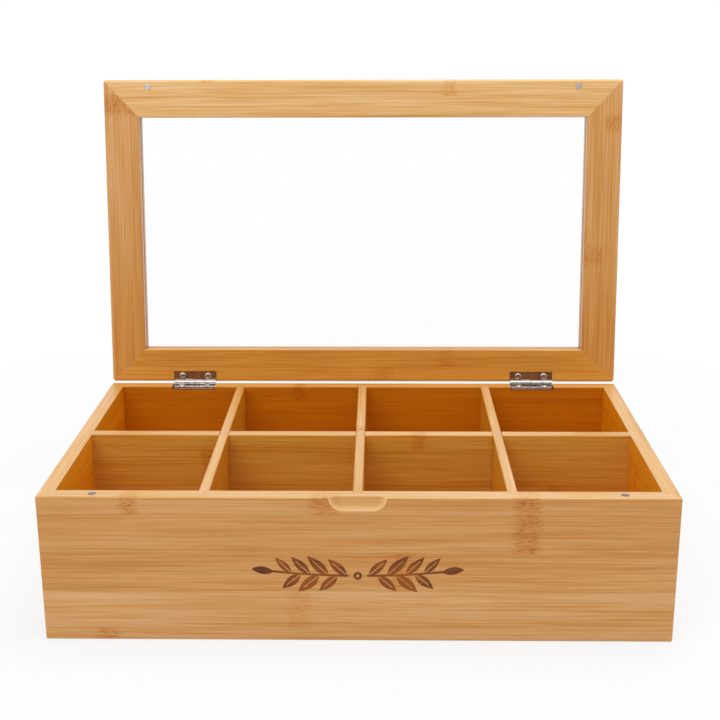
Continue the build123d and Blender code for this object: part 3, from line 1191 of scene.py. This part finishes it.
@dataclass
class StopHinges:
    """The two rolled hinges and the eight screws that hold them, in mm."""

    screw_offset: float = 8.3
    screw_from_axis: float = 4.2
    seat: float = 0.95
    shank_radius: float = 1.0
    shank_length: float = 8.8
    neck: float = 0.9
    ridge_count: int = 9
    ridge_root: float = 0.74
    point: float = 1.2
    tip: float = 0.2
    head_radius: float = 2.0
    head_height: float = 0.65
    cross_length: float = 2.2
    cross_width: float = 0.5
    cross_depth: float = 0.45
    cross_taper: float = 0.72
    first_turn: float = 17.0
    next_turn: float = 38.0
    left_turn: float = 20.0
    plate: Nickel = Nickel("nickel_leaf")
    pin: Nickel = Nickel("nickel_pin", rough=0.16)
    steel: Nickel = Nickel("nickel_screw", rough=0.18, brush_length=0.6)

    def build(self) -> None:
        """Dress the leaves and pins, and model the screws."""
        leaf_material = self.plate.material()
        pin_material = self.pin.material()
        screw = self._screw()
        screw.data.materials.append(self.steel.material())
        for side, direction in (("left", -1), ("right", 1)):
            dress(f"{side}_hinge_box_leaf", leaf_material)
            dress(f"{side}_hinge_lid_leaf", leaf_material)
            dress(f"{side}_hinge_pin", pin_material)
            x = direction * HINGE_X
            for body in ("box", "lid"):
                self._set_screws(screw, side, body, x)
        bpy.data.objects.remove(screw)

    def _screw(self) -> bpy.types.Object:
        """Model one screw, its seat at the origin and its head up.

        Returns:
            The pattern that the eight screws are copied from.
        """
        Workshop.clear_selection()
        neck = self.neck * MM
        bpy.ops.mesh.primitive_cylinder_add(
            vertices=32, radius=self.shank_radius * MM, depth=neck, location=(0, 0, -neck / 2)
        )
        bpy.ops.object.transform_apply(location=True)
        piece = Workshop.start("hinge_screw")
        # Head: a flange, a short upright edge and three steps of a dome
        Workshop.pick_cap(piece, 1)
        Workshop.step(0.0, self.head_radius / self.shank_radius)
        for rise, taper in ((0.38, 1.0), (0.30, 0.92), (0.20, 0.82), (0.12, 0.62)):
            Workshop.step(self.head_height * rise * MM, taper)
        # Shank: ridges of a thread and a point
        Workshop.pick_cap(piece, -1)
        pitch = (self.shank_length - self.neck - self.point) / self.ridge_count * MM
        ridge = ((0.35, self.ridge_root), (0.30, 1.0), (0.35, 1 / self.ridge_root))
        for rise, taper in ridge * self.ridge_count:
            Workshop.step(-pitch * rise, taper)
        Workshop.step(-self.point * MM, self.tip)
        bpy.ops.object.mode_set(mode="OBJECT")
        for length, width in ((self.cross_length, self.cross_width), (self.cross_width, self.cross_length)):
            Workshop.clear_selection()
            bpy.ops.mesh.primitive_cube_add(size=MM, location=(0, 0, 0))
            cutter = Workshop.start("cross_cutter")
            bpy.ops.mesh.select_all(action="SELECT")
            bpy.ops.transform.resize(value=(length, width, self.cross_depth * 2), center_override=(0, 0, 0))
            Workshop.pick_cap(cutter, -1)
            taper = (self.cross_taper, self.cross_taper, 1)
            bpy.ops.transform.resize(value=taper, center_override=(0, 0, 0))
            bpy.ops.object.mode_set(mode="OBJECT")
            cutter.data.transform(Matrix.Translation((0, 0, self.head_height * MM)))
            Workshop.cut(piece, cutter)
        return Workshop.finish(piece)

    def _set_screws(self, screw: bpy.types.Object, side: str, body: str, x: float) -> None:
        """Copy the two screws of one leaf into place.

        Args:
            screw: The modelled screw.
            side: Which hinge, left or right.
            body: The body that the leaf belongs to.
            x: Middle of the hinge, in mm.
        """
        if body == "box":
            forward, outward = Vector((0, -1, 0)), Vector((0, 0, 1))
        else:
            forward, outward = UP_THE_LID, OUT_OF_LID
        places = []
        for number, offset in enumerate((-self.screw_offset, self.screw_offset)):
            beside = Vector((x + offset, 0, 0))
            seat = HINGE_AXIS + (beside + forward * self.screw_from_axis - outward * self.seat) * MM
            degrees = self.first_turn + self.next_turn * number + (self.left_turn if side == "left" else 0)
            turn = Matrix.Rotation(radians(degrees), 3, "Z")
            places.append(Matrix.Translation(seat) @ (facing(outward) @ turn).to_4x4())
        name = f"{side}_hinge_{body}_screw_pair"
        piece = Workshop.copies(screw, name, places)
        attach(piece, body)
        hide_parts(f"{side}_hinge_{body}_screws")
        log.info("modelled %s", name)


@dataclass
class Magnets:
    """The four small magnets that hold the lid shut, in mm."""

    radius: float = 2.0
    thickness: float = 3.0
    edge: float = 0.18
    dish: float = 0.05
    # The box's pair is painted darker than the lid's pair of the same nickel: painted shade
    shaded_box_nickel: Nickel = Nickel("nickel_magnet_box_shaded", paint(150, 140, 150), paint(96, 84, 92), 0.3)
    lid_finish: Nickel = Nickel("nickel_magnet_lid", paint(214, 206, 204), paint(176, 166, 162), 0.34)

    def build(self) -> None:
        """Model one magnet and set its four copies."""
        disc = self._disc()
        for body, finish in (("box", self.shaded_box_nickel), ("lid", self.lid_finish)):
            material = finish.material()
            outward = Vector((0, 0, 1)) if body == "box" else OUT_OF_LID
            for side in ("left", "right"):
                node = f"{body}_magnet_{side}"
                low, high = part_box(node)
                face = (low + high) / 2 + outward * (self.thickness / 2 * MM)
                place = Matrix.Translation(face) @ facing(outward).to_4x4()
                piece = Workshop.copies(disc, f"{node}_disc", [place])
                piece.data.materials.append(material)
                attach(piece, body)
                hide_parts(node)
                log.info("modelled %s", piece.name)
        bpy.data.objects.remove(disc)

    def _disc(self) -> bpy.types.Object:
        """Model one magnet, its face at the origin and turned up.

        Returns:
            The pattern that the four magnets are copied from.
        """
        Workshop.clear_selection()
        depth = (self.thickness - 2 * self.edge) * MM
        bpy.ops.mesh.primitive_cylinder_add(
            vertices=40,
            radius=self.radius * MM,
            depth=depth,
            location=(0, 0, -self.thickness / 2 * MM),
        )
        bpy.ops.object.transform_apply(location=True)
        piece = Workshop.start("magnet_disc")
        for direction in (1, -1):
            Workshop.pick_cap(piece, direction)
            Workshop.step(direction * self.edge * 0.6 * MM, 1 - self.edge * 0.35 / self.radius)
            Workshop.step(direction * self.edge * 0.4 * MM, 1 - self.edge * 0.65 / self.radius)
        Workshop.pick_cap(piece, 1)
        Workshop.step(0.0, 0.86)
        Workshop.step(-self.dish * MM, 0.96)
        bpy.ops.object.mode_set(mode="OBJECT")
        return Workshop.finish(piece)


@dataclass
class Studio:
    """The camera at the photograph's place, the floor, the white backdrop and soft light."""

    camera_place: tuple[float, float, float] = (11.05, -675.47, 322.51)
    pitch: float = radians(16.399)
    yaw: float = radians(-0.947)
    roll: float = radians(-0.178)
    focal_pixels: float = 1247.55
    frame_pixels: float = 720.0
    sensor: float = 36.0
    floor_radius: float = 4.0
    card_place: tuple[float, float, float] = (0.0, -1.25, 0.19)
    card_size: tuple[float, float] = (2.2, 0.36)
    aim: tuple[float, float, float] = (0.0, 0.0, 0.08)
    floor: PaleFloor = PaleFloor()
    reflection_card: GlowingReflectionCard = GlowingReflectionCard()
    room: WhiteRoom = WhiteRoom()

    def build(self) -> None:
        """Set up the camera, floor, backdrop and lamps."""
        self._camera()
        self._floor()
        self._card()
        bpy.context.scene.world = self.room.world()
        self._lamp("key_lamp", (-0.7, -1.1, 1.3), size=1.1, watts=7.5)
        self._lamp("top_lamp", (0.25, 0.1, 1.5), size=1.0, watts=11.0)
        bpy.context.scene.view_settings.view_transform = "Standard"

    def _camera(self) -> None:
        """Place the camera."""
        forward = Vector(
            (sin(self.yaw) * cos(self.pitch), cos(self.yaw) * cos(self.pitch), -sin(self.pitch))
        )
        level = Vector((cos(self.yaw), -sin(self.yaw), 0))
        above = level.cross(forward)
        right = level * cos(self.roll) + above * sin(self.roll)
        up = above * cos(self.roll) - level * sin(self.roll)
        data = bpy.data.cameras.new("photo_camera")
        data.sensor_width = self.sensor
        data.lens = self.focal_pixels / self.frame_pixels * self.sensor
        data.clip_start = 0.01
        camera = bpy.data.objects.new("photo_camera", data)
        bpy.context.scene.collection.objects.link(camera)
        turn = Matrix((right, up, -forward)).transposed().to_4x4()
        camera.matrix_world = Matrix.Translation(Vector(self.camera_place) * MM) @ turn
        bpy.context.scene.camera = camera
        log.info("camera of %.2f mm", data.lens)

    def _floor(self) -> None:
        """Lay the floor under the box."""
        Workshop.clear_selection()
        bpy.ops.mesh.primitive_circle_add(
            vertices=96, radius=self.floor_radius, fill_type="NGON", location=(0, 0, 0)
        )
        piece = bpy.context.object
        piece.name = "studio_floor"
        piece.data.materials.append(self.floor.material())
        Workshop.clear_selection()

    def _card(self) -> None:
        """Stand a dark glowing card low in front, a painted reflection. Only gloss sees it, so the hinge
        leaves mirror warm brown.
        """
        Workshop.clear_selection()
        bpy.ops.mesh.primitive_plane_add(size=1.0, location=self.card_place, rotation=(radians(90), 0, 0))
        piece = bpy.context.object
        piece.scale = (*self.card_size, 1)
        piece.name = "studio_reflection_card"
        piece.data.materials.append(self.reflection_card.material())
        for ray in ("camera", "diffuse", "transmission", "volume_scatter", "shadow"):
            setattr(piece, f"visible_{ray}", False)
        Workshop.clear_selection()

    def _lamp(self, name: str, place: tuple[float, float, float], size: float, watts: float) -> None:
        """Hang a soft square lamp that looks at the box.

        Args:
            name: The lamp's name.
            place: Where it hangs, in metres.
            size: Its side, in metres.
            watts: Its power.
        """
        data = bpy.data.lights.new(name, "AREA")
        data.shape = "SQUARE"
        data.size = size
        data.energy = watts
        lamp = bpy.data.objects.new(name, data)
        bpy.context.scene.collection.objects.link(lamp)
        look = Vector(self.aim) - Vector(place)
        lamp.matrix_world = Matrix.Translation(place) @ look.to_track_quat("-Z", "Y").to_matrix().to_4x4()


def main() -> None:
    """Build and dress every sub-assembly in turn."""
    logging.basicConfig(level=logging.INFO, format="%(name)s: %(message)s")
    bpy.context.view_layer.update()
    for assembly in (BoxShell(), Dividers(), LidFrame(), Window(), StopHinges(), Magnets(), Studio()):
        assembly.build()
        log.info("finished %s", type(assembly).__name__)


if __name__ == "__main__":
    main()
